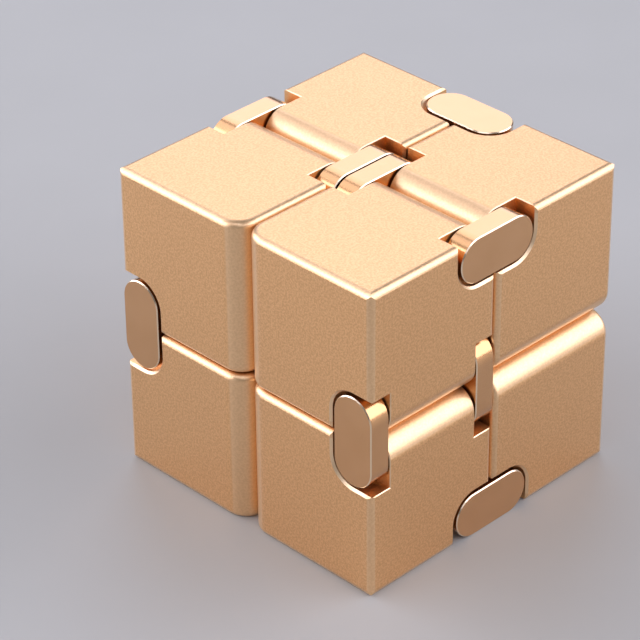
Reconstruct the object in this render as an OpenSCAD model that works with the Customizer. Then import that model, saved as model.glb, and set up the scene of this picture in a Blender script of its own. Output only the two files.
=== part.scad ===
// Folding desk cube: eight soft-edged blocks joined in a ring by eight
// two-pivot link hinges. Closed pose, standing on its bottom faces.
// Millimetres. X runs to the right side, Y to the back, Z up; the origin is
// at the middle of the bottom.

/* [Cube] */
// Outside size of the closed cube along X, Y and Z
cube_size = 40; // [30:0.5:60]
// Gap between two neighbouring blocks
seam_gap = 0.3; // [0.1:0.05:0.6]
// Radius of the three rounded block edges, and the pins' distance from the faces
round_r = 2.85; // [2:0.05:4]
// Radius on the square block edges and round the ends of the rounded ones
edge_r = 0.8; // [0.2:0.05:0.95]

/* [Hinge links] */
// Half the width of a link plate
plate_r = 2.85; // [1.8:0.05:3.5]
// Thickness of a link plate
plate_t = 2.85; // [2:0.05:4]
// Bevel on the edges of a link plate
plate_bevel = 0.12; // [0.05:0.01:0.5]
// Room between a plate's round end and its pocket wall
pocket_gap = 0.4; // [0.1:0.02:0.8]
// Room between a plate and the floor of its pocket
floor_gap = 0.2; // [0.05:0.05:0.6]
// Bevel on the rim of a pocket, in the face the plate lies in
rim_bevel = 0.27; // [0.1:0.01:0.8]
// Bevel where a pocket opens on the seam and on the outside face it is next to
lip_bevel = 0.1; // [0.05:0.01:0.4]

/* [Pins] */
// Pin radius
pin_r = 0.9; // [0.5:0.05:1.4]
// Room between a pin and the bore it turns in, on the radius
pin_play = 0.05; // [0.02:0.01:0.1]
// Depth of a pin's blind hole in a plate
pin_seat = 1.6; // [0.8:0.1:2.4]

/* [Hidden] */
half = seam_gap / 2;
edge = cube_size / 2 - half;
mid_z = cube_size / 2;
pin_a = half + round_r;
pin_c = edge - round_r;
pocket_r = plate_r + pocket_gap;
pocket_d = plate_t + floor_gap;
over = 1;
block_color = [0.79, 0.62, 0.47];
plate_color = [0.70, 0.53, 0.41];
pin_color = [0.62, 0.62, 0.64];
$fn = 64;

// ---- placing -------------------------------------------------------------
// A hinge frame has its first axis across the seam, its second along the pins
// from the cube's middle outwards, and its third towards the outside face.
// sb and sc say which side of the cube the second and third axes go to.

// Frame of a hinge whose pins run along Y, across the x = 0 seam
module frame_y(sb, sc)
    translate([0, 0, mid_z])
        multmatrix([[1, 0, 0, 0], [0, sb, 0, 0], [0, 0, sc, 0], [0, 0, 0, 1]])
            children();

// Frame of a hinge whose pins run along X, across the middle-height seam
module frame_x(sb, sc)
    translate([0, 0, mid_z])
        multmatrix([[0, sb, 0, 0], [0, 0, sc, 0], [1, 0, 0, 0], [0, 0, 0, 1]])
            children();

// Frame of a hinge whose pins run along Z, across the y = 0 seam
module frame_z(sb, sc)
    translate([0, 0, mid_z])
        multmatrix([[0, 0, sc, 0], [1, 0, 0, 0], [0, sb, 0, 0], [0, 0, 0, 1]])
            children();

// Turns a Z cylinder along the second axis, starting at b0, at across a0, out c0
module along_b(a0, b0, c0)
    translate([a0, b0, c0])
        rotate([-90, 0, 0])
            children();

// ---- blocks --------------------------------------------------------------
// Square from half to half + edge on both axes, with rounded corners
module soft_square() {
    lo = half;
    hi = half + edge;
    translate([lo + edge_r, lo])
        square([edge - 2 * edge_r, edge]);
    translate([lo, lo + edge_r])
        square([edge, edge - 2 * edge_r]);
    for (a = [lo + edge_r, hi - edge_r], c = [lo + edge_r, hi - edge_r])
        translate([a, c])
            circle(edge_r);
}

// Prism of that square, as long as a block
module soft_prism()
    translate([0, 0, half])
        linear_extrude(edge)
            soft_square();

// Block with every edge a little rounded, in the all-positive corner
module soft_block()
    intersection() {
        soft_prism();
        multmatrix([[0, 1, 0, 0], [0, 0, 1, 0], [1, 0, 0, 0], [0, 0, 0, 1]])
            soft_prism();
        multmatrix([[0, 0, 1, 0], [1, 0, 0, 0], [0, 1, 0, 0], [0, 0, 0, 1]])
            soft_prism();
    }

// Half profile of the rounded edge's barrel, from its axis, with rounded ends
module barrel_profile() {
    square([round_r - edge_r, edge]);
    translate([0, edge_r])
        square([round_r, edge - 2 * edge_r]);
    for (y = [edge_r, edge - edge_r])
        translate([round_r - edge_r, y])
            circle(edge_r);
}

// What is cut away to round the edge by the seam and the outside face
module rounding_cut()
    difference() {
        translate([half - over, half - over, half + pin_c])
            cube([round_r + over, edge + 2 * over, round_r + over]);
        along_b(pin_a, half, half + pin_c)
            rotate_extrude()
                barrel_profile();
    }

// Pocket for one plate, around the pin. It starts at b = 0 and goes up to
// pocket_d, and its two straight sides mirror each other across the pin.
module pocket_cut()
    translate([pin_a, 0, half + pin_c]) {
        along_b(0, -over, 0)
            cylinder(h = pocket_d + over, r = pocket_r);
        along_b(0, -over, 0)
            cylinder(h = rim_bevel + over, r1 = pocket_r + rim_bevel + over, r2 = pocket_r);
        pocket_side();
        mirror([1, 0, 1])
            pocket_side();
        barrel_lip_cut();
    }

// Straight side of a pocket, from the pin out through the face at c = round_r,
// with the rim bevel and with a mitred lip bevel where it opens on that face
module pocket_side() {
    rim = rim_bevel + over;
    lip = lip_bevel + over;
    lip_c = round_r - lip_bevel;
    out_c = round_r + over;
    translate([-out_c, -over, 0])
        cube([out_c + pocket_r, pocket_d + over, out_c]);
    linear_extrude(out_c)
        polygon([[0, -over], [pocket_r + rim, -over], [pocket_r, rim_bevel], [0, rim_bevel]]);
    intersection() {
        translate([0, pocket_d + lip, 0])
            rotate([90, 0, 0])
                linear_extrude(pocket_d + lip + over)
                    polygon([
                        [0, lip_c], [pocket_r, lip_c], [pocket_r + lip, out_c], [0, out_c]
                    ]);
        rotate([90, 0, 90])
            linear_extrude(pocket_r + lip)
                polygon([
                    [-over, lip_c], [pocket_d, lip_c], [pocket_d + lip, out_c], [-over, out_c]
                ]);
    }
}

// Lip bevel round the end of the rounded block edge, at the pocket's floor
module barrel_lip_cut()
    difference() {
        translate([-round_r - over, 0, 0])
            cube([round_r + over, pocket_d + lip_bevel + over, round_r + over]);
        along_b(0, pocket_d, 0)
            cylinder(h = lip_bevel + over, r1 = round_r - lip_bevel, r2 = round_r + over);
    }

// Everything a hinge cuts out of a block: pin bore and a pocket at each end
module hinge_cut(bore_r) {
    along_b(pin_a, half - over, half + pin_c)
        cylinder(h = edge + 2 * over, r = bore_r);
    translate([0, half, 0])
        pocket_cut();
    translate([0, half + edge, 0])
        mirror([0, 1, 0])
            pocket_cut();
}

// One block in the corner given by sx, sy and sz. side_hinge is "x" for a block
// of the left column and "z" for one of the right column, and side_bore is the
// radius of that hinge's pin bore.
module block(sx, sy, sz, side_hinge, side_bore)
    color(block_color)
        translate([0, 0, mid_z])
            multmatrix([[sx, 0, 0, 0], [0, sy, 0, 0], [0, 0, sz, 0], [0, 0, 0, 1]])
                difference() {
                    soft_block();
                    rounding_cut();
                    multmatrix([[0, 1, 0, 0], [0, 0, 1, 0], [1, 0, 0, 0], [0, 0, 0, 1]])
                        rounding_cut();
                    multmatrix([[0, 0, 1, 0], [1, 0, 0, 0], [0, 1, 0, 0], [0, 0, 0, 1]])
                        rounding_cut();
                    hinge_cut(pin_r + pin_play);
                    if (side_hinge == "x")
                        multmatrix([[0, 1, 0, 0], [0, 0, 1, 0], [1, 0, 0, 0], [0, 0, 0, 1]])
                            hinge_cut(side_bore);
                    if (side_hinge == "z")
                        multmatrix([[0, 0, 1, 0], [1, 0, 0, 0], [0, 1, 0, 0], [0, 0, 0, 1]])
                            hinge_cut(side_bore);
                }

module front_left_top() block(-1, -1, 1, "x", pin_r);
module front_right_top() block(1, -1, 1, "z", pin_r + pin_play);
module back_right_top() block(1, 1, 1, "z", pin_r + pin_play);
module back_left_top() block(-1, 1, 1, "x", pin_r + pin_play);
module back_left_bottom() block(-1, 1, -1, "x", pin_r + pin_play);
module back_right_bottom() block(1, 1, -1, "z", pin_r + pin_play);
module front_right_bottom() block(1, -1, -1, "z", pin_r + pin_play);
module front_left_bottom() block(-1, -1, -1, "x", pin_r + pin_play);

// ---- link plates and pins ------------------------------------------------
// Half outline of a plate, thickness along Y, bevelled on both faces
module plate_profile(reach)
    polygon([
        [0, 0], [reach - plate_bevel, 0], [reach, plate_bevel],
        [reach, plate_t - plate_bevel], [reach - plate_bevel, plate_t], [0, plate_t]
    ]);

// Link plate in its hinge frame with its outside face at b = 0 and its two
// blind pin holes opening at b = plate_t
module plate_shape()
    difference() {
        union() {
            for (side = [-1, 1])
                along_b(side * pin_a, 0, half + pin_c)
                    rotate_extrude()
                        plate_profile(plate_r);
            for (up = [0, 1])
                translate([-pin_a, 0, half + pin_c])
                    mirror([0, 0, up])
                        rotate([90, 0, 90])
                            linear_extrude(2 * pin_a)
                                mirror([1, -1, 0])
                                    plate_profile(plate_r);
        }
        for (side = [-1, 1])
            along_b(side * pin_a, plate_t - pin_seat, half + pin_c)
                cylinder(h = pin_seat + over, r = pin_r);
    }

// Plate at the cube's outside end of a hinge
module outer_plate()
    color(plate_color)
        translate([0, half + edge, 0])
            mirror([0, 1, 0])
                plate_shape();

// Plate at the cube's middle end of a hinge
module inner_plate()
    color(plate_color)
        translate([0, half, 0])
            plate_shape();

// Pin on the given side of the seam, pressed into the blind holes of both plates
module link_pin(side)
    color(pin_color)
        along_b(side * pin_a, half + plate_t - pin_seat, half + pin_c)
            cylinder(h = edge - 2 * (plate_t - pin_seat), r = pin_r);

// Short pin that stays inside its block and ends at the pocket floors
module short_pin(side)
    color(pin_color)
        along_b(side * pin_a, half + pocket_d, half + pin_c)
            cylinder(h = edge - 2 * pocket_d, r = pin_r);

module top_front_outer_plate() frame_y(-1, 1) outer_plate();
module top_front_inner_plate() frame_y(-1, 1) inner_plate();
module top_front_left_pin() frame_y(-1, 1) link_pin(-1);
module top_front_right_pin() frame_y(-1, 1) link_pin(1);

module top_back_outer_plate() frame_y(1, 1) outer_plate();
module top_back_inner_plate() frame_y(1, 1) inner_plate();
module top_back_left_pin() frame_y(1, 1) link_pin(-1);
module top_back_right_pin() frame_y(1, 1) link_pin(1);

module bottom_front_outer_plate() frame_y(-1, -1) outer_plate();
module bottom_front_inner_plate() frame_y(-1, -1) inner_plate();
module bottom_front_left_pin() frame_y(-1, -1) link_pin(-1);
module bottom_front_right_pin() frame_y(-1, -1) link_pin(1);

module bottom_back_outer_plate() frame_y(1, -1) outer_plate();
module bottom_back_inner_plate() frame_y(1, -1) inner_plate();
module bottom_back_left_pin() frame_y(1, -1) link_pin(-1);
module bottom_back_right_pin() frame_y(1, -1) link_pin(1);

module right_upper_outer_plate() frame_z(1, 1) outer_plate();
module right_upper_inner_plate() frame_z(1, 1) inner_plate();
module right_upper_front_pin() frame_z(1, 1) link_pin(-1);
module right_upper_back_pin() frame_z(1, 1) link_pin(1);

module right_lower_outer_plate() frame_z(-1, 1) outer_plate();
module right_lower_inner_plate() frame_z(-1, 1) inner_plate();
module right_lower_front_pin() frame_z(-1, 1) link_pin(-1);
module right_lower_back_pin() frame_z(-1, 1) link_pin(1);

module back_side_outer_plate() frame_x(-1, 1) outer_plate();
module back_side_inner_plate() frame_x(-1, 1) inner_plate();
module back_side_lower_pin() frame_x(-1, 1) link_pin(-1);
module back_side_upper_pin() frame_x(-1, 1) link_pin(1);

module front_side_outer_plate() frame_x(-1, -1) outer_plate();
module front_side_inner_plate() frame_x(-1, -1) inner_plate();
module front_side_lower_pin() frame_x(-1, -1) link_pin(-1);
module front_side_upper_pin() frame_x(-1, -1) short_pin(1);

// ---- drawing -------------------------------------------------------------
front_left_top();
front_right_top();
back_right_top();
back_left_top();
back_left_bottom();
back_right_bottom();
front_right_bottom();
front_left_bottom();
top_front_outer_plate();
top_front_inner_plate();
top_front_left_pin();
top_front_right_pin();
top_back_outer_plate();
top_back_inner_plate();
top_back_left_pin();
top_back_right_pin();
right_upper_outer_plate();
right_upper_inner_plate();
right_upper_front_pin();
right_upper_back_pin();
right_lower_outer_plate();
right_lower_inner_plate();
right_lower_front_pin();
right_lower_back_pin();
back_side_outer_plate();
back_side_inner_plate();
back_side_lower_pin();
back_side_upper_pin();
front_side_outer_plate();
front_side_inner_plate();
front_side_lower_pin();
front_side_upper_pin();
bottom_front_outer_plate();
bottom_front_inner_plate();
bottom_front_left_pin();
bottom_front_right_pin();
bottom_back_outer_plate();
bottom_back_inner_plate();
bottom_back_left_pin();
bottom_back_right_pin();
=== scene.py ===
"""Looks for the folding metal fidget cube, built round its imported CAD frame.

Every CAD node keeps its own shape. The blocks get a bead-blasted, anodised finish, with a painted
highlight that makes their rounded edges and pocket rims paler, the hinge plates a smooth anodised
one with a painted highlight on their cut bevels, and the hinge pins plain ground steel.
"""

import math

import bpy
from mathutils import Matrix, Vector


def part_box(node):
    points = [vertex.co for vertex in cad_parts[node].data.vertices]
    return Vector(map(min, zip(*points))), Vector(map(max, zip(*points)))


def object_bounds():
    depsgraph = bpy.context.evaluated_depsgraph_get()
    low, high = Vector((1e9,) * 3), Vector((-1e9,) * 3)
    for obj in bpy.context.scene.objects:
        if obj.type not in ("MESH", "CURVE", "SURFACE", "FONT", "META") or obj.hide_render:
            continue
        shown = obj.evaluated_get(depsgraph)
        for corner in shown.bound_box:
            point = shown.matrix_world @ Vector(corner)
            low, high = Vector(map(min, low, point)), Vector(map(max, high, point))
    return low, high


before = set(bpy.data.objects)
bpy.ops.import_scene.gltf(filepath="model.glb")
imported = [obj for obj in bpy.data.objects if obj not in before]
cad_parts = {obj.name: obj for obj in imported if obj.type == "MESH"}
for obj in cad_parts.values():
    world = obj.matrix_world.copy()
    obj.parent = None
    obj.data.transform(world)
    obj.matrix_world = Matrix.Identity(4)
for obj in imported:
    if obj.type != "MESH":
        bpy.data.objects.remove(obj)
cad_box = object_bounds()

MM = 0.001

# Where the flat faces of a block lie, measured from the cube's centre along each axis.
LOW, HIGH = cad_box
CENTRE = [(a + b) / 2 for a, b in zip(LOW, HIGH)]
OUTER = (HIGH[0] - LOW[0]) / 2
SEAM = -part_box("front_left_top")[1][0]
MIDDLE = (OUTER + SEAM) / 2
REACH = (OUTER - SEAM) / 2


# ---------------------------------------------------------------- camera
CAMERA_AT = (-0.2126, -0.2067, 0.2071)
CAMERA_TURN = math.radians(-44.74)
CAMERA_RISE = math.radians(32.36)
CAMERA_ROLL = math.radians(-0.60)
LENS_MM = 169.0
SENSOR_MM = 36.0


def add_camera():
    """A long lens on the near corner of the cube, looking down at it."""
    a, e, r = CAMERA_TURN, CAMERA_RISE, CAMERA_ROLL
    back = Vector((math.sin(a) * math.cos(e), -math.cos(a) * math.cos(e), math.sin(e)))
    level = Vector((math.cos(a), math.sin(a), 0))
    rise = back.cross(level)
    right = math.cos(r) * level + math.sin(r) * rise
    up = math.cos(r) * rise - math.sin(r) * level
    data = bpy.data.cameras.new("camera")
    data.lens, data.sensor_width = LENS_MM, SENSOR_MM
    data.clip_start, data.clip_end = 0.01, 50
    camera = bpy.data.objects.new("camera", data)
    turn = Matrix((right, up, back)).transposed().to_4x4()
    camera.matrix_world = Matrix.Translation(CAMERA_AT) @ turn
    bpy.context.scene.collection.objects.link(camera)
    bpy.context.scene.camera = camera


# ---------------------------------------------------------------- node trees
class Tree:
    """A material's node tree, built one node at a time."""

    def __init__(self, name):
        self.material = bpy.data.materials.new(name)
        self.material.use_nodes = True
        self.nodes = self.material.node_tree.nodes
        self.links = self.material.node_tree.links
        self.nodes.clear()

    def add(self, kind, inputs=(), **settings):
        """A node with its settings, and its inputs set to numbers or linked to sockets."""
        node = self.nodes.new(kind)
        for key, value in settings.items():
            setattr(node, key, value)
        for key, value in dict(inputs).items():
            if isinstance(value, bpy.types.NodeSocket):
                self.links.new(value, node.inputs[key])
            else:
                node.inputs[key].default_value = value
        return node

    def math(self, operation, *values):
        """The result of a Math node."""
        node = self.add("ShaderNodeMath", enumerate(values), operation=operation)
        return node.outputs[0]

    def vector(self, operation, *values):
        """The result of a Vector Math node."""
        node = self.add("ShaderNodeVectorMath", enumerate(values), operation=operation)
        return node.outputs["Value" if operation == "DOT_PRODUCT" else "Vector"]

    def ramp(self, value, low, high, to_low=0.0, to_high=1.0):
        """value eased from to_low at low to to_high at high."""
        node = self.add(
            "ShaderNodeMapRange",
            {0: value, 1: low, 2: high, 3: to_low, 4: to_high},
            interpolation_type="SMOOTHSTEP",
        )
        return node.outputs[0]

    def mix(self, share, a, b):
        """Colour a where share is 0, and b where it is 1."""
        node = self.add("ShaderNodeMix", data_type="RGBA")
        for socket, value in ((0, share), (6, a), (7, b)):
            if isinstance(value, bpy.types.NodeSocket):
                self.links.new(value, node.inputs[socket])
            else:
                node.inputs[socket].default_value = value
        return node.outputs[2]

    def noise(self, where, size, detail, rough):
        """Noise between 0 and 1 with features about size metres across."""
        node = self.add(
            "ShaderNodeTexNoise",
            {"Vector": where, "Scale": 1 / size, "Detail": detail, "Roughness": rough},
        )
        return node.outputs[0]

    def bump(self, height, depth):
        """A normal bent by height times depth metres."""
        inputs = {"Height": height, "Distance": depth, "Strength": 1.0}
        return self.add("ShaderNodeBump", inputs).outputs[0]

    def finish(self, inputs):
        """The material, with a Principled shader that has these inputs."""
        shader = self.add("ShaderNodeBsdfPrincipled", inputs)
        out = self.add("ShaderNodeOutputMaterial")
        self.links.new(shader.outputs[0], out.inputs[0])
        return self.material


def colour(r, g, b):
    """An opaque colour, in linear light."""
    return (r, g, b, 1.0)


GOLD = colour(0.86, 0.465, 0.17)  # the dyed metal of the blasted faces, under its clear oxide
GOLD_LIGHT = colour(0.97, 0.57, 0.26)  # the tops of the grain
GOLD_DEEP = colour(0.73, 0.37, 0.14)  # its pits
HIGHLIGHT_AND_WEAR = colour(0.94, 0.67, 0.40)  # painted highlight on the pocket rims and rounded edges, and real wear beside the edges
PLATE = colour(0.73, 0.375, 0.14)
PLATE_DEEP = colour(0.69, 0.345, 0.12)
PLATE_HIGHLIGHT = colour(0.96, 0.74, 0.50)  # painted highlight on the plates' bevels
OXIDE = {"Coat Weight": 0.7, "Coat IOR": 1.6, "Coat Roughness": 0.32}
OXIDE_SMOOTH = {"Coat Weight": 1.0, "Coat IOR": 1.6, "Coat Roughness": 0.18}
STEEL = colour(0.60, 0.59, 0.58)
STEEL_DARK = colour(0.42, 0.41, 0.40)
FLOOR_DARK = colour(0.43, 0.42, 0.39)
FLOOR_LIGHT = colour(0.46, 0.45, 0.42)

# Sizes of the finishes' detail.
BLAST_SIZE = 0.26 * MM
BLAST_FINE_SIZE = 0.11 * MM
BLAST_CLOUD_SIZE = 9.0 * MM
BLAST_DEPTH = 0.034 * MM
PLATE_CLOUD_SIZE = 4.0 * MM
PLATE_GRAIN_SIZE = 0.14 * MM
PLATE_GRAIN_DEPTH = 0.003 * MM
GRIND_SIZE = 0.12 * MM
GRIND_DEPTH = 0.004 * MM
MOTTLE_SIZE = 20.0 * MM

# How far in from a block's outer faces each mask begins and ends.
WALL_START, WALL_END = 0.15 * MM, 0.05 * MM
WEAR_START, WEAR_END = 1.8 * MM, 0.6 * MM
FACE_START, FACE_END = 1.0 * MM, 0.9 * MM
RIM_START, RIM_END = 0.32 * MM, 0.28 * MM


def face_masks(t):
    """(flat, rim, near_edge, inside) of a block: 1 on its flat faces and 0 on its rounded edges; 1
    on the cut rims of its pockets; 1 beside an edge of a flat face; 1 on a pocket's walls."""
    coords = t.add("ShaderNodeTexCoord")
    where, normal = coords.outputs["Object"], t.vector("ABSOLUTE", coords.outputs["Normal"])
    n = t.add("ShaderNodeSeparateXYZ", {0: normal}).outputs
    squareness = t.math("MAXIMUM", t.math("MAXIMUM", n[0], n[1]), n[2])
    flat = t.ramp(squareness, 0.97, 0.999)
    from_centre = t.vector("ABSOLUTE", t.vector("SUBTRACT", where, CENTRE))
    reach = t.vector("ABSOLUTE", t.vector("SUBTRACT", from_centre, [MIDDLE] * 3))
    own = t.vector("DOT_PRODUCT", t.vector("MULTIPLY", normal, normal), reach)
    inside = t.math("MULTIPLY", flat, t.ramp(own, REACH - WALL_START, REACH - WALL_END, 1.0, 0.0))
    q = t.add("ShaderNodeSeparateXYZ", {0: reach}).outputs
    furthest = t.math("MAXIMUM", t.math("MAXIMUM", q[0], q[1]), q[2])
    second = t.math(
        "MAXIMUM",
        t.math("MINIMUM", q[0], q[1]),
        t.math("MINIMUM", t.math("MAXIMUM", q[0], q[1]), q[2]),
    )
    near_edge = t.ramp(second, REACH - WEAR_START, REACH - WEAR_END)
    in_face = t.ramp(second, REACH - FACE_START, REACH - FACE_END, 1.0, 0.0)
    on_skin = t.ramp(furthest, REACH - RIM_START, REACH - RIM_END)
    slanted = t.ramp(squareness, 0.74, 0.80, 1.0, 0.0)
    rim = t.math("MULTIPLY", slanted, t.math("MULTIPLY", in_face, on_skin))
    return where, flat, rim, near_edge, inside


def block_material():
    """Bead-blasted anodised aluminium: a fine grain of pits all over, shallower on the rounded
    edges, and cut clean on the rims of the pockets. A painted highlight makes the rounded edges a
    little paler and the rims pale."""
    t = Tree("block_finish")
    where, flat, rim, near_edge, inside = face_masks(t)
    blast = t.noise(where, BLAST_SIZE, 2.0, 0.6)
    fine = t.noise(where, BLAST_FINE_SIZE, 2.0, 0.6)
    cloud = t.noise(where, BLAST_CLOUD_SIZE, 2.0, 0.5)
    grain = t.ramp(blast, 0.36, 0.64)
    skin = t.mix(t.ramp(cloud, 0.3, 0.7), GOLD, t.mix(0.14, GOLD, GOLD_DEEP))
    skin = t.mix(grain, t.mix(0.62, skin, GOLD_DEEP), t.mix(0.62, skin, GOLD_LIGHT))
    worn = t.math("MULTIPLY", near_edge, t.ramp(blast, 0.45, 0.75))
    skin = t.mix(t.math("MULTIPLY", 0.2, worn), skin, HIGHLIGHT_AND_WEAR)
    smooth = t.math("MAXIMUM", rim, t.math("SUBTRACT", 1.0, flat))
    # painted highlight: the rounded edges and pocket rims are mixed halfway to the pale highlight
    # colour
    skin = t.mix(t.math("MULTIPLY", 0.5, smooth), skin, HIGHLIGHT_AND_WEAR)
    # painted highlight: the pocket rims take the pale highlight colour in full
    base = t.mix(rim, t.mix(t.math("MULTIPLY", 0.6, inside), skin, GOLD), HIGHLIGHT_AND_WEAR)
    rough = t.math("ADD", 0.38, t.math("MULTIPLY", smooth, 0.03))
    rough = t.math("ADD", rough, t.math("MULTIPLY", t.math("SUBTRACT", fine, 0.5), 0.12))
    pits = t.math("ADD", blast, t.math("MULTIPLY", fine, 0.4))
    height = t.math("MULTIPLY", pits, t.ramp(smooth, 0.0, 1.0, 1.0, 0.45))
    return t.finish(
        OXIDE
        | {
            "Base Color": base,
            "Metallic": 1.0,
            "Roughness": rough,
            "Normal": t.bump(height, BLAST_DEPTH),
        }
    )


def plate_material(axis):
    """Smooth anodised aluminium: a satin skin with a very fine grain, and a painted highlight on
    the bevels.
    axis is the one the plate is thin along: 0, 1 or 2."""
    t = Tree("plate_finish_" + "xyz"[axis])
    coords = t.add("ShaderNodeTexCoord")
    where, normal = coords.outputs["Object"], t.vector("ABSOLUTE", coords.outputs["Normal"])
    lean = t.add("ShaderNodeSeparateXYZ", {0: normal}).outputs[axis]
    cut = t.math("MULTIPLY", t.ramp(lean, 0.60, 0.68), t.ramp(lean, 0.74, 0.82, 1.0, 0.0))
    cloud = t.noise(where, PLATE_CLOUD_SIZE, 2.0, 0.5)
    fine = t.noise(where, PLATE_GRAIN_SIZE, 2.0, 0.5)
    base = t.mix(t.ramp(cloud, 0.25, 0.75), PLATE_DEEP, PLATE)
    # painted highlight: the plates' bevels take a pale colour
    base = t.mix(cut, base, PLATE_HIGHLIGHT)
    satin = t.math("ADD", t.math("MULTIPLY", cloud, 0.6), t.math("MULTIPLY", fine, 0.4))
    return t.finish(
        OXIDE_SMOOTH
        | {
            "Base Color": base,
            "Metallic": 1.0,
            "Roughness": t.ramp(satin, 0.3, 0.7, 0.19, 0.26),
            "Normal": t.bump(fine, PLATE_GRAIN_DEPTH),
        }
    )


def pin_material():
    """Plain ground steel."""
    t = Tree("pin_finish")
    coords = t.add("ShaderNodeTexCoord")
    where = coords.outputs["Object"]
    grind = t.noise(where, GRIND_SIZE, 3.0, 0.6)
    base = t.mix(grind, STEEL_DARK, STEEL)
    return t.finish(
        {
            "Base Color": base,
            "Metallic": 1.0,
            "Roughness": t.ramp(grind, 0.3, 0.7, 0.22, 0.36),
            "Normal": t.bump(grind, GRIND_DEPTH),
        }
    )


def thin_axis(node):
    """The axis along which a node's box is smallest."""
    low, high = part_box(node)
    return min(range(3), key=lambda axis: high[axis] - low[axis])


def dress():
    """Gives each CAD node the material of what it is."""
    block, pin = block_material(), pin_material()
    plates = [plate_material(axis) for axis in range(3)]
    for name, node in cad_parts.items():
        if name.endswith("_plate"):
            material = plates[thin_axis(name)]
        else:
            material = pin if name.endswith("_pin") else block
        for slot in node.material_slots:
            slot.material = material


# ---------------------------------------------------------------- stage
FLOOR_HALF = 2.5


def add_floor():
    """A plain pale floor, wide enough to fill every view."""
    f = FLOOR_HALF
    corners = [(-f, -f, 0), (f, -f, 0), (f, f, 0), (-f, f, 0)]
    mesh = bpy.data.meshes.new("floor")
    mesh.from_pydata(corners, [], [(0, 1, 2, 3)])
    floor = bpy.data.objects.new("floor", mesh)
    bpy.context.scene.collection.objects.link(floor)
    t = Tree("floor_finish")
    coords = t.add("ShaderNodeTexCoord")
    mottle = t.noise(coords.outputs["Object"], MOTTLE_SIZE, 3.0, 0.5)
    base = t.mix(mottle, FLOOR_DARK, FLOOR_LIGHT)
    mesh.materials.append(
        t.finish({"Base Color": base, "Roughness": 0.55, "Specular IOR Level": 0.35})
    )


LAMP_TINT = (0.96, 0.98, 1.16)
SKY = colour(0.80, 0.82, 0.86)
SKY_STRENGTH = 0.18

# Name, azimuth and elevation in degrees, distance, width and height in metres, glow.
SOFTBOXES = [
    ("softbox_back", 137, 37, 0.9, 0.55, 0.64, 1.82),
    ("softbox_high", -168, 50, 0.9, 0.45, 0.35, 1.5),
    ("softbox_left", -139, 20, 0.9, 1.30, 0.68, 3.3),
    ("softbox_right", 39, 27, 0.9, 1.25, 0.85, 2.7),
    ("softbox_top", -75, 57, 0.9, 0.70, 0.35, 1.5),
    ("softbox_front", -32, 36, 1.1, 0.75, 0.55, 0.9),
]


def add_softbox(name, azimuth, elevation, distance, width, height, glow):
    """A soft rectangular light aimed at the cube. Azimuth 0 is in front, 90 to the right; glow is
    the brightness of its face."""
    a, e = math.radians(azimuth), math.radians(elevation)
    aim = Vector(CENTRE)
    away = Vector((math.sin(a) * math.cos(e), -math.cos(a) * math.cos(e), math.sin(e)))
    data = bpy.data.lights.new(name, "AREA")
    data.shape, data.size, data.size_y = "RECTANGLE", width, height
    data.energy, data.color = glow * math.pi * width * height, LAMP_TINT
    lamp = bpy.data.objects.new(name, data)
    lamp.location = aim + away * distance
    lamp.rotation_euler = away.to_track_quat("Z", "Y").to_euler()
    bpy.context.scene.collection.objects.link(lamp)


def add_light():
    """Softboxes behind, high at the left, to both sides and in front, and a pale sky."""
    for softbox in SOFTBOXES:
        add_softbox(*softbox)
    scene = bpy.context.scene
    world = bpy.data.worlds.new("studio")
    scene.world = world
    world.use_nodes = True
    sky = world.node_tree.nodes["Background"]
    sky.inputs["Color"].default_value = SKY
    sky.inputs["Strength"].default_value = SKY_STRENGTH
    scene.view_settings.view_transform = "Standard"


add_camera()
dress()
add_floor()
add_light()
